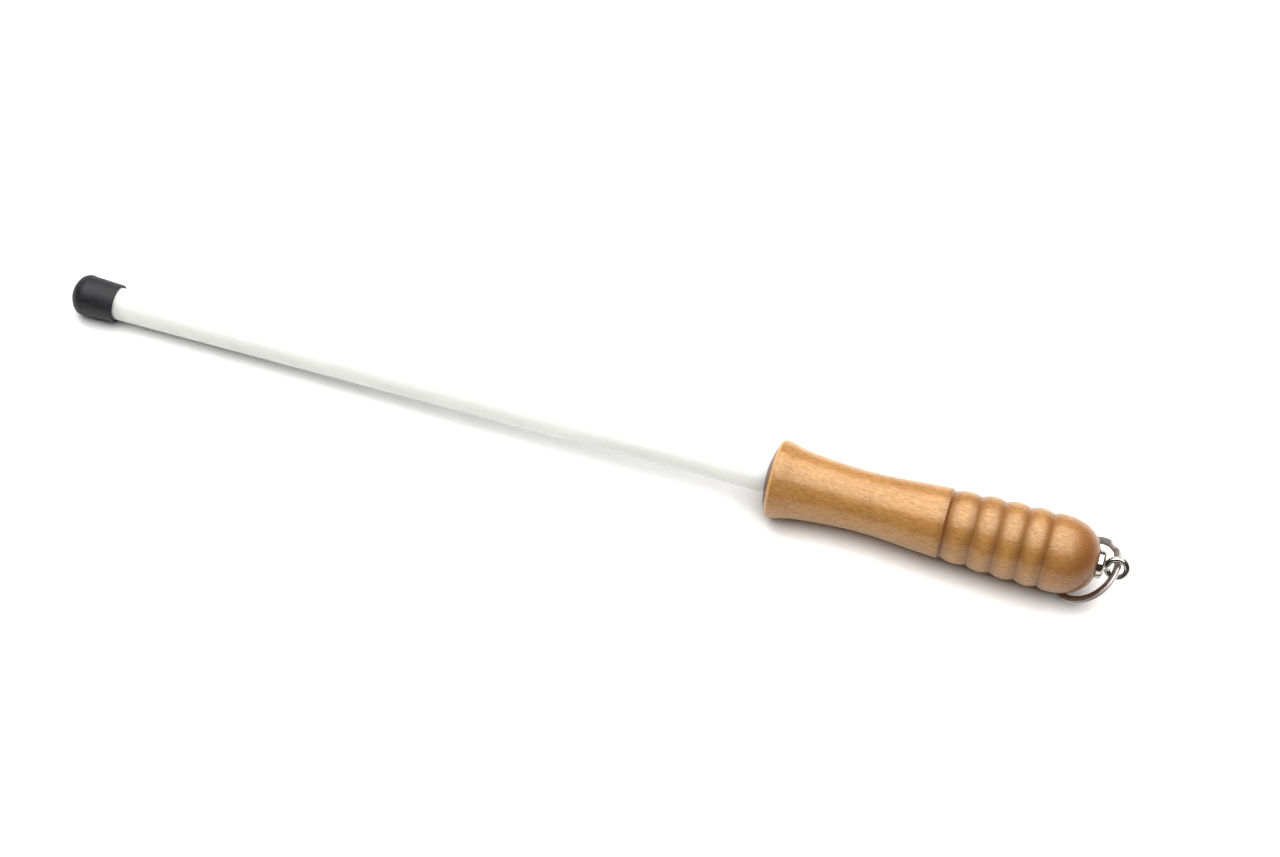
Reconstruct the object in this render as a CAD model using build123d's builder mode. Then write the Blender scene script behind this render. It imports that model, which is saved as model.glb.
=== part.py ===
from build123d import *
import os
from math import atan2, cos, degrees, pi, radians, sin

# A ceramic sharpening rod: a plain ceramic rod bonded into a turned wooden handle, with a
# rubber cap pushed over its tip, and a screw eye with a split ring in the handle's butt.
#
# Frame, in millimetres: +X runs along the tool's axis, from the capped tip to the butt,
# +Z is up, and the origin is on the axis, in the plane of the handle's flat front shoulder.

# ---- Driving dimensions ----

# Rod: half an inch by twelve inches, seated in a blind bore
ROD_DIAMETER = 12.7
ROD_LENGTH = 304.8
ROD_SEAT = 28.0
ROD_EDGE = 0.8

# Handle: crowned front, a long cove, a row of beads and a rounded butt
SHOULDER_RADIUS = 8.0
RIM_X = 2.0
RIM_RADIUS = 14.3
FLARE_X = 3.7
FLARE_RADIUS = 14.9
COVE_POINTS = ((9.2, 13.8), (17.0, 12.6), (28.0, 11.75), (39.0, 11.55), (52.0, 12.25), (60.0, 12.9))
COVE_END_X = 67.3
COVE_END_RADIUS = 13.35
GROOVES_X = (68.3, 78.1, 87.2, 96.2, 104.9)
GROOVE_RADII = (12.4, 12.85, 13.25, 13.5, 13.6)
BEAD_RADII = (13.65, 14.2, 14.5, 14.65)
BUTT_WIDEST_X = 108.4
BUTT_RADIUS = 14.6
BUTT_POINTS = ((114.6, 13.8), (119.6, 11.5), (122.7, 8.4))
HANDLE_END_X = 124.0
END_LAND_RADIUS = 5.5
RIM_ROUNDING = 0.5
GROOVE_ROUNDING = 0.45

# Bond line round the rod, and the bore that holds it
GLUE_GAP = 0.2
GLUE_FLOOR = 1.0
GLUE_SETBACK = 0.6

# Cap: a tapering side and a rounded end, a slide fit on the rod
CAP_RIM_X = -263.0
CAP_SIDE_LENGTH = 12.6
CAP_END_LENGTH = 6.3
CAP_END_RADIUS = 8.25
CAP_SIDE_RADIUS = 8.05
CAP_RIM_RADIUS = 7.45
CAP_CLEARANCE = 0.05
CAP_FLOOR_GAP = 0.3
CAP_EDGE = 0.35

# Screw eye: bent wire with a rolled thread
WIRE_DIAMETER = 2.3
EYE_HOLE = 5.0
EYE_X = 131.3
EYE_ROLL = 34.0
NECK_LENGTH = 5.0
EYE_CLOSES_AT = 203.0
SHANK_PLAIN_TO = 119.5
THREAD_CORE = 1.9
THREAD_TIP_X = 106.5
POINT_LENGTH = 2.0
PILOT_SPARE = 1.5

# Collar between the eye and the wood
COLLAR_DIAMETER = 10.6
COLLAR_THICKNESS = 2.7
COLLAR_BORE = 2.7
COLLAR_CROWN = 1.25
COLLAR_HEEL = 0.25

# Split ring: two turns of flattened wire, with a crown on its faces and rounded edges
RING_OUTER = 28.5
RING_WIDTH = 2.6
TURN_THICKNESS = 0.85
TURN_GAP = 0.08
TURN_CROWN = 0.15
TURN_EDGE = 0.22
RING_LEAN = 38.6
RING_SWAY = 4.0
JOG_ANGLE = 26.0
JOG_BEARING = 62.0
JOG_STEPS = 6
END_GAP_ANGLE = 4.0

rod_radius = ROD_DIAMETER / 2
rod_tip_x = ROD_SEAT - ROD_LENGTH
bore_radius = rod_radius + GLUE_GAP
bore_end_x = ROD_SEAT + GLUE_FLOOR

os.makedirs("parts", exist_ok=True)


# ---- Handle ----

# The front face is a shallow sphere, cut by a flat shoulder where the rod comes out.
sphere_centre_x = (RIM_X**2 + RIM_RADIUS**2 - SHOULDER_RADIUS**2) / (2 * RIM_X)
front_sphere = (sphere_centre_x**2 + SHOULDER_RADIUS**2) ** 0.5

with BuildPart() as handle:
    with BuildSketch(Plane.XZ) as handle_profile:
        with BuildLine():
            Line((0, 0), (0, SHOULDER_RADIUS))
            RadiusArc((0, SHOULDER_RADIUS), (RIM_X, RIM_RADIUS), front_sphere)
            TangentArc(
                (FLARE_X, FLARE_RADIUS),
                (RIM_X, RIM_RADIUS),
                tangent=(-1, 0),
            )
            Spline(
                (FLARE_X, FLARE_RADIUS),
                *COVE_POINTS,
                (COVE_END_X, COVE_END_RADIUS),
                tangents=((1, 0), (1, 0.08)),
            )
            Line((COVE_END_X, COVE_END_RADIUS), (GROOVES_X[0], GROOVE_RADII[0]))
            for bead, crest in enumerate(BEAD_RADII):
                left = (GROOVES_X[bead], GROOVE_RADII[bead])
                right = (GROOVES_X[bead + 1], GROOVE_RADII[bead + 1])
                middle = ((left[0] + right[0]) / 2, crest)
                ThreePointArc(left, middle, right)
            TangentArc(
                (BUTT_WIDEST_X, BUTT_RADIUS),
                (GROOVES_X[-1], GROOVE_RADII[-1]),
                tangent=(-1, 0),
            )
            Spline(
                (BUTT_WIDEST_X, BUTT_RADIUS),
                *BUTT_POINTS,
                (HANDLE_END_X, END_LAND_RADIUS),
                tangents=((1, 0), (0.3, -1)),
            )
            Line((HANDLE_END_X, END_LAND_RADIUS), (HANDLE_END_X, 0))
            Line((HANDLE_END_X, 0), (0, 0))
        make_face()
        corners = handle_profile.vertices()
        grooves = [v for v in corners if v.Z > 12 and any(abs(v.X - x) < 0.1 for x in GROOVES_X)]
        fillet(grooves, GROOVE_ROUNDING)
        rim = handle_profile.vertices().sort_by_distance((RIM_X, 0, RIM_RADIUS))[0]
        fillet(rim, RIM_ROUNDING)
    revolve(axis=Axis.X)
    # Blind bore for the rod, from the front
    with BuildSketch(Plane.YZ.offset(bore_end_x)):
        Circle(bore_radius)
    extrude(amount=-bore_end_x - RIM_X, mode=Mode.SUBTRACT)
    # Hole for the plain part of the eye's shank, and a narrower pilot for its thread
    with BuildSketch(Plane.YZ.offset(HANDLE_END_X)):
        Circle(WIRE_DIAMETER / 2)
    extrude(amount=SHANK_PLAIN_TO - HANDLE_END_X, mode=Mode.SUBTRACT)
    with BuildSketch(Plane.YZ.offset(SHANK_PLAIN_TO)):
        Circle(THREAD_CORE / 2)
    extrude(amount=THREAD_TIP_X - PILOT_SPARE - SHANK_PLAIN_TO, mode=Mode.SUBTRACT)
handle.part.label = "handle"
export_step(handle.part, "parts/handle.step")


# ---- Ceramic rod ----

with BuildPart() as ceramic_rod:
    with BuildSketch(Plane.YZ.offset(rod_tip_x)):
        Circle(rod_radius)
    extrude(amount=ROD_LENGTH)
    chamfer(ceramic_rod.edges().filter_by(GeomType.CIRCLE), ROD_EDGE)
ceramic_rod.part.label = "ceramic_rod"
export_step(ceramic_rod.part, "parts/ceramic_rod.step")


# ---- Adhesive: a sleeve round the seated rod and a floor under its end ----

with BuildPart() as rod_adhesive:
    with BuildSketch(Plane.YZ.offset(GLUE_SETBACK)):
        Circle(bore_radius)
    extrude(amount=bore_end_x - GLUE_SETBACK)
    with BuildSketch(Plane.YZ.offset(ROD_SEAT)):
        Circle(rod_radius)
    extrude(amount=-ROD_SEAT, mode=Mode.SUBTRACT)
rod_adhesive.part.label = "rod_adhesive"
export_step(rod_adhesive.part, "parts/rod_adhesive.step")


# ---- Tip cap ----

cap_side_x = CAP_RIM_X - CAP_SIDE_LENGTH
cap_bore = rod_radius + CAP_CLEARANCE
cap_floor_x = rod_tip_x - CAP_FLOOR_GAP

with BuildPart() as tip_cap:
    with BuildSketch(Plane.XZ) as cap_profile:
        with BuildLine():
            Spline(
                (cap_side_x, CAP_END_RADIUS),
                (cap_side_x - CAP_END_LENGTH * sin(pi / 4), CAP_END_RADIUS * cos(pi / 4)),
                (cap_side_x - CAP_END_LENGTH, 0),
                tangents=((-1, 0), (0, -1)),
            )
            Line((cap_side_x, CAP_END_RADIUS), (cap_side_x + 0.3, CAP_SIDE_RADIUS))
            Line((cap_side_x + 0.3, CAP_SIDE_RADIUS), (CAP_RIM_X, CAP_RIM_RADIUS))
            Line((CAP_RIM_X, CAP_RIM_RADIUS), (CAP_RIM_X, cap_bore))
            Line((CAP_RIM_X, cap_bore), (cap_floor_x, cap_bore))
            Line((cap_floor_x, cap_bore), (cap_floor_x, 0))
            Line((cap_floor_x, 0), (cap_side_x - CAP_END_LENGTH, 0))
        make_face()
        mouth = [v for v in cap_profile.vertices() if abs(v.X - CAP_RIM_X) < 0.1]
        fillet(mouth, CAP_EDGE)
    revolve(axis=Axis.X)
tip_cap.part.label = "tip_cap"
export_step(tip_cap.part, "parts/tip_cap.step")


# ---- Screw eye ----

# The eye lies in a plane through the tool's axis, rolled about it. In that plane the shank
# comes in along the axis, bends aside, and meets the loop's circle without a kink.
wire_radius = WIRE_DIAMETER / 2
loop_radius = (EYE_HOLE + WIRE_DIAMETER) / 2
bend_radius = (NECK_LENGTH**2 - loop_radius**2) / (2 * loop_radius)
meet_angle = degrees(atan2(bend_radius, NECK_LENGTH))
hole_axis = (0, -cos(radians(EYE_ROLL)), sin(radians(EYE_ROLL)))
eye_plane = Plane(origin=(EYE_X, 0, 0), x_dir=(1, 0, 0), z_dir=hole_axis)

with BuildPart() as screw_eye:
    with BuildLine(eye_plane) as wire_path:
        Line((SHANK_PLAIN_TO - EYE_X, 0), (-NECK_LENGTH, 0))
        CenterArc((-NECK_LENGTH, bend_radius), bend_radius, -90, 90 - meet_angle)
        CenterArc((0, 0), loop_radius, 180 - meet_angle, meet_angle - 360 + EYE_CLOSES_AT - 180)
    with BuildSketch(Plane.YZ.offset(SHANK_PLAIN_TO)):
        Circle(wire_radius)
    sweep(path=wire_path.wires()[0])
    # Threaded core with a gimlet point
    with BuildSketch(Plane.XZ) as core_profile:
        with BuildLine():
            Polyline(
                (SHANK_PLAIN_TO, 0),
                (SHANK_PLAIN_TO, THREAD_CORE / 2),
                (THREAD_TIP_X + POINT_LENGTH, THREAD_CORE / 2),
                (THREAD_TIP_X, 0),
                close=True,
            )
        make_face()
    revolve(axis=Axis.X)
screw_eye.part.label = "screw_eye"
export_step(screw_eye.part, "parts/screw_eye.step")


# ---- Eye collar ----

with BuildPart() as eye_collar:
    with BuildSketch(Plane.YZ.offset(HANDLE_END_X)):
        Circle(COLLAR_DIAMETER / 2)
        Circle(COLLAR_BORE / 2, mode=Mode.SUBTRACT)
    extrude(amount=COLLAR_THICKNESS)
    outer_edges = eye_collar.edges().filter_by(GeomType.CIRCLE).group_by(SortBy.RADIUS)[-1]
    fillet(outer_edges.sort_by(Axis.X)[-1], COLLAR_CROWN)
    outer_edges = eye_collar.edges().filter_by(GeomType.CIRCLE).group_by(SortBy.RADIUS)[-1]
    fillet(outer_edges.sort_by(Axis.X)[0], COLLAR_HEEL)
eye_collar.part.label = "eye_collar"
export_step(eye_collar.part, "parts/eye_collar.step")


# ---- Split ring ----

# The ring hangs from the eye, leans back under the butt and lies a little to one side. Its
# own plane is centred on the ring, and its two turns lie on either side of that plane.
turn_radius = (RING_OUTER - RING_WIDTH) / 2
half_pitch = (TURN_THICKNESS + TURN_GAP) / 2
lean = radians(RING_LEAN)
sway = radians(RING_SWAY)
to_eye = Vector(cos(lean) * cos(sway), -sin(sway), sin(lean) * cos(sway))
ring_plane = Plane(
    origin=Vector(EYE_X, 0, 0) - to_eye * turn_radius,
    x_dir=to_eye,
    z_dir=(-sin(lean), 0, cos(lean)),
)


def ring_section(bearing, height):
    """The plane across the wire at a bearing round the ring: x outwards, y up the ring's axis."""
    angle = radians(bearing)
    outwards = ring_plane.x_dir * cos(angle) + ring_plane.y_dir * sin(angle)
    centre = ring_plane.origin + outwards * turn_radius + ring_plane.z_dir * height
    return Plane(origin=centre, x_dir=outwards, z_dir=outwards.cross(ring_plane.z_dir))


def turn_section(bearing, height):
    """The outline of one turn of the wire: crowned faces between rounded edges."""
    edge_x = RING_WIDTH / 2 - TURN_EDGE
    edge_y = TURN_THICKNESS / 2 - TURN_CROWN
    with BuildSketch(ring_section(bearing, height)) as section:
        with BuildLine():
            ThreePointArc((-edge_x, edge_y), (0, TURN_THICKNESS / 2), (edge_x, edge_y))
            ThreePointArc((edge_x, edge_y), (RING_WIDTH / 2, 0), (edge_x, -edge_y))
            ThreePointArc((edge_x, -edge_y), (0, -TURN_THICKNESS / 2), (-edge_x, -edge_y))
            ThreePointArc((-edge_x, -edge_y), (-RING_WIDTH / 2, 0), (-edge_x, edge_y))
        make_face()
    return section.sketch


ring_axis = Axis(ring_plane.origin, ring_plane.z_dir)
turn_arc = 360 - JOG_ANGLE
jog_sections = []
for step in range(JOG_STEPS + 1):
    part_way = step / JOG_STEPS
    jog_bearing = JOG_BEARING + turn_arc + part_way * JOG_ANGLE
    jog_sections.append(turn_section(jog_bearing, -half_pitch * cos(part_way * pi)))

with BuildPart() as split_ring:
    # Lower turn, from the end of the jog round to its start
    revolve(turn_section(JOG_BEARING, -half_pitch), axis=ring_axis, revolution_arc=turn_arc)
    # Upper turn, stopping short of the jog
    revolve(
        turn_section(JOG_BEARING, half_pitch),
        axis=ring_axis,
        revolution_arc=turn_arc - END_GAP_ANGLE,
    )
    # The jog, which rises from the lower turn's end to the upper turn's start
    loft(jog_sections)
split_ring.part.label = "split_ring"
export_step(split_ring.part, "parts/split_ring.step")
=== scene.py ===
import math

import bpy
from mathutils import Matrix, Vector


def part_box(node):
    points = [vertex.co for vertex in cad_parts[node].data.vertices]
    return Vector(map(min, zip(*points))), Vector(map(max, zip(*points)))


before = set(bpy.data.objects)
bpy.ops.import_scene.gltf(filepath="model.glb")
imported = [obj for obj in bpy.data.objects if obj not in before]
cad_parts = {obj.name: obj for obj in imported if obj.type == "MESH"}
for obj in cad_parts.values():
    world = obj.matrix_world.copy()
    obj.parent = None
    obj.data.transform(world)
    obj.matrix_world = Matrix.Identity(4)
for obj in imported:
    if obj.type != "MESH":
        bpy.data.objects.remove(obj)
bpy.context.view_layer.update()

# A ceramic sharpening rod with a turned wooden handle lies on a white table, seen from above
# and in front. +X runs along the tool from its capped tip to its butt, in metres.

# ---- Camera ----

# The camera looks down on the tool from in front. It is placed by its distance from the tool's
# axis, the point of the axis it stands square to, and the angles it is then turned through.
CAMERA_ELEVATION = math.radians(60.0)
CAMERA_DISTANCE = 0.8649
SQUARE_TO_X = 0.0893
TURN_TO_TIP = math.radians(9.242)
TILT_UP = math.radians(0.319)
ROLL = math.radians(14.876)
SENSOR_MM = 36.0
LENS_MM = 65.615625

along = Vector((1, 0, 0))
towards = Vector((0, -math.cos(CAMERA_ELEVATION), math.sin(CAMERA_ELEVATION)))
across = Vector((0, math.sin(CAMERA_ELEVATION), math.cos(CAMERA_ELEVATION)))
forward = -towards * math.cos(TURN_TO_TIP) - along * math.sin(TURN_TO_TIP)
sideways = along * math.cos(TURN_TO_TIP) - towards * math.sin(TURN_TO_TIP)
up = across * math.cos(TILT_UP) - forward * math.sin(TILT_UP)
forward = forward * math.cos(TILT_UP) + across * math.sin(TILT_UP)
right = sideways * math.cos(ROLL) + up * math.sin(ROLL)
up = up * math.cos(ROLL) - sideways * math.sin(ROLL)


def link(obj):
    bpy.context.scene.collection.objects.link(obj)
    return obj


camera = link(bpy.data.objects.new("camera", bpy.data.cameras.new("camera")))
camera.data.sensor_width = SENSOR_MM
camera.data.lens = LENS_MM
camera.data.clip_start = 0.01
camera.data.clip_end = 50
turned = Matrix((right, up, -forward)).transposed().to_4x4()
camera.matrix_world = Matrix.Translation(along * SQUARE_TO_X + towards * CAMERA_DISTANCE) @ turned
bpy.context.scene.camera = camera

# ---- Node helper ----


class Paint:
    """A material's node tree, with short ways to add nodes and join them."""

    def __init__(self, name):
        self.material = bpy.data.materials.new(name)
        self.material.use_nodes = True
        self.tree = self.material.node_tree
        self.tree.nodes.clear()
        output = self.add("ShaderNodeOutputMaterial")
        self.shader = self.add("ShaderNodeBsdfPrincipled")
        self.join((self.shader, "BSDF"), output, "Surface")
        self.place = self.add("ShaderNodeTexCoord")

    def add(self, kind, **settings):
        node = self.tree.nodes.new(kind)
        for name, value in settings.items():
            setattr(node, name, value)
        return node

    def join(self, source, target, socket):
        """Feeds a socket from (node, output), or sets it to a plain value."""
        if isinstance(source, tuple) and isinstance(source[0], bpy.types.Node):
            self.tree.links.new(source[0].outputs[source[1]], target.inputs[socket])
        elif isinstance(source, tuple) and len(source) == 3:
            value = target.inputs[socket].default_value
            target.inputs[socket].default_value = (*source, 1.0) if len(value) == 4 else source
        else:
            target.inputs[socket].default_value = source

    def set(self, **values):
        for name, value in values.items():
            self.join(value, self.shader, name.replace("_", " "))

    def where(self, scale=(1, 1, 1), shift=(0, 0, 0)):
        """Object coordinates in metres, stretched by scale."""
        mapping = self.add("ShaderNodeMapping")
        self.join((self.place, "Object"), mapping, "Vector")
        self.join(scale, mapping, "Scale")
        self.join(shift, mapping, "Location")
        return mapping, 0

    def part_of(self, vector, axis):
        node = self.add("ShaderNodeSeparateXYZ")
        self.join(vector, node, 0)
        return node, axis

    def noise(self, vector, scale, detail=2.0, roughness=0.5):
        node = self.add("ShaderNodeTexNoise")
        self.join(vector, node, "Vector")
        self.join(scale, node, "Scale")
        self.join(detail, node, "Detail")
        self.join(roughness, node, "Roughness")
        return node, 0

    def math(self, operation, first, second=0.0):
        node = self.add("ShaderNodeMath", operation=operation)
        self.join(first, node, 0)
        self.join(second, node, 1)
        return node, 0

    def spread(self, value, low, high, to_low=0.0, to_high=1.0):
        """Maps low..high to to_low..to_high, smoothly, and holds it there beyond."""
        node = self.add("ShaderNodeMapRange", interpolation_type="SMOOTHSTEP")
        for socket, number in enumerate((value, low, high, to_low, to_high)):
            self.join(number, node, socket)
        return node, 0

    def ramp(self, factor, stops):
        """Plain colours, or plain greys, at their places along the factor."""
        node = self.add("ShaderNodeValToRGB")
        self.join(factor, node, 0)
        elements = node.color_ramp.elements
        while len(elements) < len(stops):
            elements.new(1.0)
        for element, (position, colour) in zip(elements, stops):
            element.position = position
            tone = colour if isinstance(colour, tuple) else (colour,) * 3
            element.color = (*tone, 1)
        return node, 0

    def mix(self, factor, first, second):
        node = self.add("ShaderNodeMix", data_type="RGBA")
        self.join(factor, node, 0)
        self.join(first, node, 6)
        self.join(second, node, 7)
        return node, 2

    def bump(self, height, strength, distance, under=None):
        node = self.add("ShaderNodeBump")
        self.join(height, node, "Height")
        self.join(strength, node, "Strength")
        self.join(distance, node, "Distance")
        if under:
            self.join(under, node, "Normal")
        return node, 0


# ---- Floor ----

# The tool rests on the widest part of its cap and on the low side of the split ring, which lies
# under the butt, so the table slopes a little in the tool's own frame.
CAP_WIDEST_FROM_END = 0.0063
RING_FOOT_FROM_END = 0.0012
FLOOR_SIZE = 8.0
FLOOR_GAP = 0.0001

cap_low, cap_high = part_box("tip_cap")
ring_low, ring_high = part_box("split_ring")
cap_foot = Vector((cap_low[0] + CAP_WIDEST_FROM_END, 0, cap_low[2]))
ring_foot = Vector((ring_low[0] + RING_FOOT_FROM_END, 0, ring_low[2]))
floor_slope = (ring_foot.z - cap_foot.z) / (ring_foot.x - cap_foot.x)


def floor_height(x):
    return cap_foot.z + (x - cap_foot.x) * floor_slope - FLOOR_GAP


def make_floor():
    half = FLOOR_SIZE / 2
    mesh = bpy.data.meshes.new("floor")
    corners = ((-half, -half), (half, -half), (half, half), (-half, half))
    mesh.from_pydata([(x, y, floor_height(x)) for x, y in corners], [], [(0, 1, 2, 3)])
    floor = link(bpy.data.objects.new("floor", mesh))
    paint = Paint("white_table")
    grain = paint.noise(paint.where(), 60.0, 3.0)
    table_grey = paint.ramp(grain, ((0.3, 0.90), (0.7, 0.92)))
    paint.set(Base_Color=table_grey, Roughness=0.8, Specular_IOR_Level=0.2)
    floor.data.materials.append(paint.material)


make_floor()

# ---- Light ----

# One large soft box hangs level over the table. Its front edge is just behind the camera's line
# of sight, so what leans towards the camera falls into the darker front of the room.
LIGHT_HEIGHT = 1.05
LIGHT_FRONT_Y = -0.58
LIGHT_BACK_Y = 1.4
LIGHT_HALF_WIDTH = 0.8
LIGHT_POWER = 43.0
# The room is dim in front and pale behind, by how far a direction points backwards.
ROOM_FRONT = 0.13
ROOM_BACK = 0.42
ROOM_FRONT_Y = -0.5
ROOM_BACK_Y = 0.5
ROOM_COLOUR = (1.0, 0.985, 0.97, 1)
VIEW_GAMMA = 0.78

light = bpy.data.lights.new("overhead", "AREA")
light.shape = "RECTANGLE"
light.size = 2 * LIGHT_HALF_WIDTH
light.size_y = LIGHT_BACK_Y - LIGHT_FRONT_Y
light.energy = LIGHT_POWER
lamp = link(bpy.data.objects.new("overhead", light))
lamp.location = (0.0, (LIGHT_FRONT_Y + LIGHT_BACK_Y) / 2, LIGHT_HEIGHT)

world = bpy.data.worlds.new("studio")
world.use_nodes = True
room = world.node_tree
heading = room.nodes.new("ShaderNodeTexCoord")
parts = room.nodes.new("ShaderNodeSeparateXYZ")
walls = room.nodes.new("ShaderNodeMapRange")
for socket, value in enumerate((0.0, ROOM_FRONT_Y, ROOM_BACK_Y, ROOM_FRONT, ROOM_BACK)):
    walls.inputs[socket].default_value = value
room.links.new(heading.outputs["Generated"], parts.inputs[0])
room.links.new(parts.outputs["Y"], walls.inputs[0])
background = room.nodes["Background"]
room.links.new(walls.outputs[0], background.inputs["Strength"])
background.inputs["Color"].default_value = ROOM_COLOUR
bpy.context.scene.world = world
bpy.context.scene.view_settings.view_transform = "Standard"
bpy.context.scene.view_settings.gamma = VIEW_GAMMA

# ---- Materials ----

# Places along the handle from its front shoulder, and how far a mark reaches, in metres
GROOVES = (0.0683, 0.0781, 0.0872, 0.0962, 0.1049)
GROOVE_LINE_REACH = 0.0009
GROOVE_LINE_CORE = 0.0002
GROOVE_PAINTED_SHADE_REACH = 0.0045
BUTT_SHADE_STARTS = 0.102
BUTT_SHADE_FULL_FROM = 0.120
FRONT_RIM = 0.0023
RIM_WEAR_REACH = 0.0009
RIM_WEAR_CORE = 0.0001
PITH = (0, 0.021, 0.017)

# Tones of the wood, from its plain figure to the stain in the grooves and the painted shade on the
# beads, the butt and the crown
FIGURE = ((0.25, (0.275, 0.139, 0.042)), (0.5, (0.325, 0.170, 0.052)), (0.75, (0.38, 0.205, 0.068)))
RING_TONE = (0.26, 0.115, 0.028)
STREAK_TONE = (0.22, 0.092, 0.021)
CLOUD_TONE = (0.44, 0.246, 0.093)
DARK_FLECK = (0.15, 0.064, 0.013)
PALE_FLECK = (0.49, 0.30, 0.12)
GROOVE_STAIN_AND_SHADE_TONE = (0.17, 0.068, 0.012)
BUTT_GRAIN_TONE = (0.17, 0.062, 0.011)
BUTT_PAINTED_SHADE_TONE = (0.18, 0.064, 0.009)
CROWN_STAIN_AND_SHADE_TONE = (0.15, 0.068, 0.030)
WORN_RIM_TONE = (0.66, 0.43, 0.23)
VARNISH_TINT = (1.0, 0.92, 0.78)

# Tones of the other materials
CERAMIC_TONES = ((0.3, (0.570, 0.575, 0.560)), (0.7, (0.612, 0.617, 0.604)))
GROUND_TONE = (0.495, 0.498, 0.486)
RUBBER_TONES = ((0.35, (0.017, 0.017, 0.019)), (0.68, (0.029, 0.028, 0.031)))
EPOXY_TONES = ((0.3, (0.42, 0.33, 0.16)), (0.7, (0.55, 0.45, 0.25)))
EYE_TINT = (0.46, 0.435, 0.41)
COLLAR_TINT = (0.46, 0.437, 0.377)
RING_TINT = (0.50, 0.472, 0.455)
TARNISHED = 0.72
ROUGHNESS_SPREAD = 0.10


def growth_rings(paint):
    """Rings round a pith that lies well outside the handle, drawn out along the grain."""
    rings = paint.add("ShaderNodeTexWave", wave_type="RINGS", rings_direction="X")
    paint.join(paint.where(scale=(0.12, 1, 1), shift=PITH), rings, "Vector")
    paint.join(150.0, rings, "Scale")
    paint.join(5.0, rings, "Distortion")
    paint.join(2.0, rings, "Detail")
    paint.join(1.1, rings, "Detail Scale")
    return rings, 1


def groove_stain_and_painted_shade(paint, x):
    """How near a point is to a groove: a sharp line in it, of stain and painted shade, and a soft
    band of painted shade on either side.
    """
    near = None
    for groove in GROOVES:
        away = paint.math("ABSOLUTE", paint.math("SUBTRACT", x, groove))
        line = paint.spread(away, GROOVE_LINE_REACH, GROOVE_LINE_CORE)
        # The soft band beside each groove is painted shade, for the beads curving away from the
        # light
        painted_shade_band = paint.spread(away, GROOVE_PAINTED_SHADE_REACH, 0.0, 0.0, 0.80)
        mask = paint.math("MAXIMUM", line, painted_shade_band)
        near = mask if near is None else paint.math("MAXIMUM", near, mask)
    return near


def wood():
    """Turned maple under a satin varnish, darker where the stain has gathered."""
    paint = Paint("turned_maple")
    x = paint.part_of(paint.where(), 0)
    facing = paint.part_of((paint.place, "Normal"), 0)
    # The figure, with flecks and pores that are long along the grain
    wander = paint.noise(paint.where(scale=(0.22, 1, 1)), 70.0, 3.0)
    rings = growth_rings(paint)
    fleck = paint.noise(paint.where(scale=(0.30, 1, 1)), 1500.0, 4.0, 0.70)
    streak = paint.noise(paint.where(scale=(0.10, 1, 1)), 700.0, 4.0, 0.6)
    cloud = paint.noise(paint.where(scale=(0.45, 1, 1)), 120.0, 3.0, 0.55)
    base = paint.ramp(wander, FIGURE)
    base = paint.mix(paint.spread(rings, 0.5, 1.0, 0.0, 0.10), base, RING_TONE)
    base = paint.mix(paint.spread(streak, 0.50, 0.72, 0.0, 0.28), base, STREAK_TONE)
    base = paint.mix(paint.spread(cloud, 0.45, 0.75, 0.0, 0.35), base, CLOUD_TONE)
    base = paint.mix(paint.spread(fleck, 0.53, 0.68, 0.0, 0.58), base, DARK_FLECK)
    base = paint.mix(paint.spread(fleck, 0.48, 0.34, 0.0, 0.46), base, PALE_FLECK)
    # Stain gathers in the grooves, darkened further as painted shade, and end grain drinks more
    # stain on the butt and the crown
    base = paint.mix(paint.math("MULTIPLY", groove_stain_and_painted_shade(paint, x), 0.75), base, GROOVE_STAIN_AND_SHADE_TONE)
    base = paint.mix(paint.spread(facing, 0.15, 0.95, 0.0, 0.80), base, BUTT_GRAIN_TONE)
    # Painted shade over the whole butt, standing in for the split ring's shadow and the dark floor
    # that the butt reflects
    painted_butt_shade = paint.spread(x, BUTT_SHADE_STARTS, BUTT_SHADE_FULL_FROM, 0.0, 0.60)
    base = paint.mix(painted_butt_shade, base, BUTT_PAINTED_SHADE_TONE)
    # The crown's dark tone is end grain stain and also painted shade, for the front face turned
    # away from the light
    base = paint.mix(paint.spread(facing, -0.45, -0.85, 0.0, 0.92), base, CROWN_STAIN_AND_SHADE_TONE)
    # Worn paler along the front rim, where the varnish is thinnest
    rim = paint.math("ABSOLUTE", paint.math("SUBTRACT", x, FRONT_RIM))
    rim = paint.spread(rim, RIM_WEAR_REACH, RIM_WEAR_CORE, 0.0, 0.55)
    base = paint.mix(rim, base, WORN_RIM_TONE)
    gloss = paint.spread(fleck, 0.3, 0.7, 0.36, 0.52)
    fine = paint.bump(fleck, 0.22, 0.00006)
    turned_marks = paint.noise(paint.where(scale=(1, 0.02, 0.02)), 2600.0, 2.0)
    normal = paint.bump(turned_marks, 0.05, 0.00004, fine)
    paint.set(Base_Color=base, Roughness=gloss, Normal=normal)
    # The crown's end grain has soaked the varnish up
    varnish = paint.spread(facing, -0.30, -0.75, 0.45, 0.04)
    paint.set(Coat_Weight=varnish, Coat_Roughness=0.20, Coat_IOR=1.45)
    paint.set(Specular_IOR_Level=0.75, Specular_Tint=VARNISH_TINT)
    return paint.material


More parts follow.
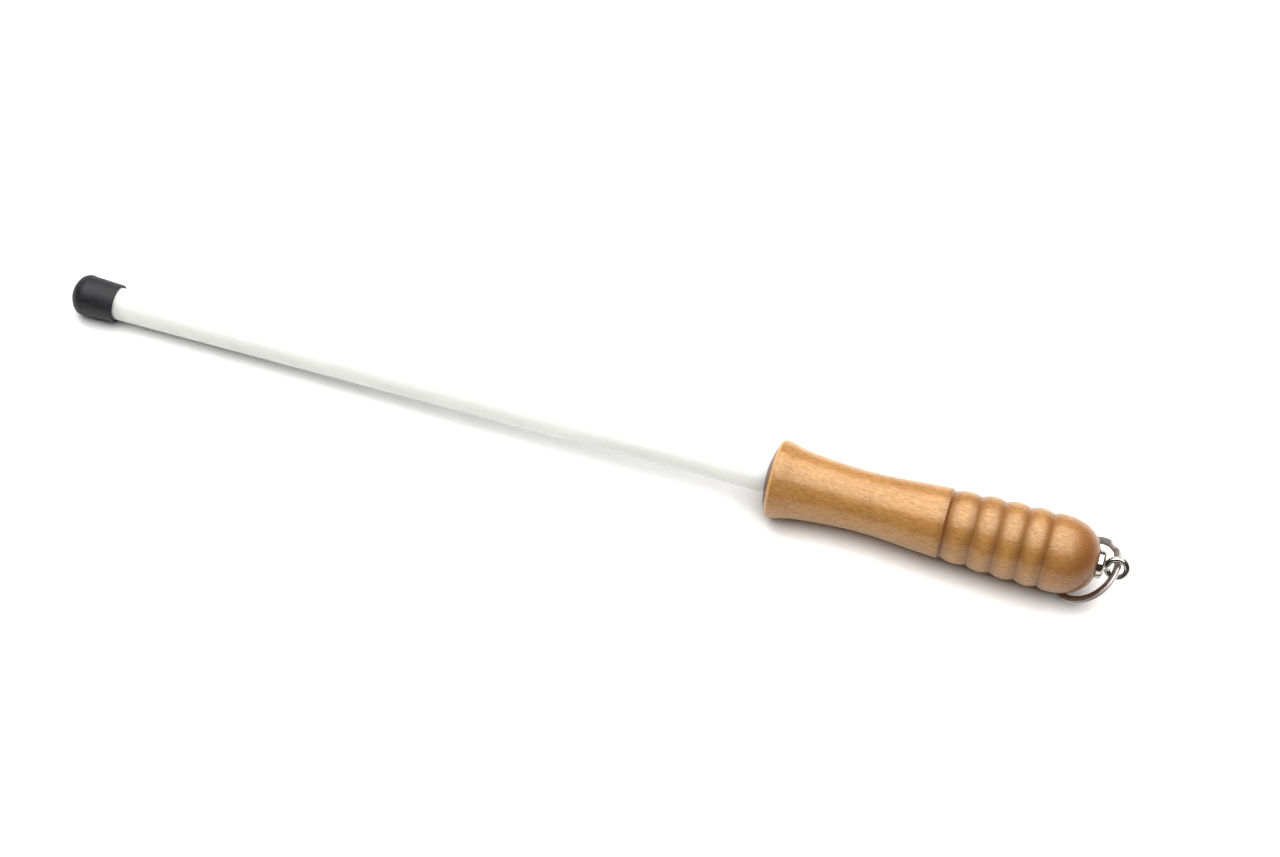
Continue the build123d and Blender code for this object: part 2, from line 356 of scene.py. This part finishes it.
def ceramic():
    """Sintered alumina with a fine ground surface."""
    paint = Paint("white_ceramic")
    ground = paint.noise(paint.where(scale=(1, 0.05, 0.05)), 1400.0, 4.0, 0.6)
    grit = paint.noise(paint.where(), 9000.0, 2.0, 0.6)
    cloud = paint.noise(paint.where(scale=(0.3, 1, 1)), 90.0, 3.0)
    base = paint.ramp(cloud, CERAMIC_TONES)
    base = paint.mix(paint.spread(ground, 0.55, 0.8, 0.0, 0.12), base, GROUND_TONE)
    gloss = paint.spread(grit, 0.3, 0.7, 0.48, 0.62)
    normal = paint.bump(ground, 0.10, 0.00003, paint.bump(grit, 0.18, 0.00002))
    paint.set(Base_Color=base, Roughness=gloss, Normal=normal)
    paint.set(Specular_IOR_Level=0.4, Subsurface_Weight=0.85, Subsurface_Scale=0.014)
    paint.set(Subsurface_Radius=(1.0, 1.0, 0.9))
    return paint.material


def rubber():
    """Moulded rubber, matte, with dust and scuffs."""
    paint = Paint("black_rubber")
    pebble = paint.noise(paint.where(), 5200.0, 3.0, 0.6)
    scuff = paint.noise(paint.where(scale=(0.5, 1, 1)), 420.0, 4.0, 0.6)
    gloss = paint.spread(scuff, 0.3, 0.7, 0.42, 0.60)
    normal = paint.bump(pebble, 0.25, 0.00005, paint.bump(scuff, 0.15, 0.0002))
    paint.set(Base_Color=paint.ramp(scuff, RUBBER_TONES), Roughness=gloss, Normal=normal)
    return paint.material


def nickel(name, tint, rough, scratch):
    """Bright nickel plate, faintly scratched and a little tarnished."""
    paint = Paint(name)
    drawn = paint.noise(paint.where(), 1500.0, 4.0, 0.6)
    tarnish = paint.noise(paint.where(), 500.0, 3.0, 0.6)
    dull = tuple(part * TARNISHED for part in tint)
    base = paint.mix(paint.spread(tarnish, 0.5, 0.8, 0.0, 0.6), tint, dull)
    gloss = paint.spread(drawn, 0.35, 0.7, rough, rough + ROUGHNESS_SPREAD)
    normal = paint.bump(drawn, scratch, 0.00003)
    paint.set(Base_Color=base, Metallic=1.0, Roughness=gloss, Normal=normal)
    return paint.material


def epoxy():
    """Cured adhesive, glossy and cloudy."""
    paint = Paint("epoxy")
    cloud = paint.noise(paint.where(), 700.0, 3.0)
    gloss = paint.spread(cloud, 0.3, 0.7, 0.2, 0.35)
    normal = paint.bump(cloud, 0.2, 0.0001)
    paint.set(Base_Color=paint.ramp(cloud, EPOXY_TONES), Roughness=gloss, Normal=normal)
    return paint.material


def finish_node(node, material):
    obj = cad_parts[node]
    obj.data.materials.clear()
    obj.data.materials.append(material)


finish_node("handle", wood())
finish_node("ceramic_rod", ceramic())
finish_node("rod_adhesive", epoxy())
finish_node("tip_cap", rubber())
finish_node("screw_eye", nickel("eye_nickel", EYE_TINT, rough=0.10, scratch=0.05))
finish_node("eye_collar", nickel("collar_nickel", COLLAR_TINT, rough=0.09, scratch=0.05))
finish_node("split_ring", nickel("ring_nickel", RING_TINT, rough=0.28, scratch=0.04))
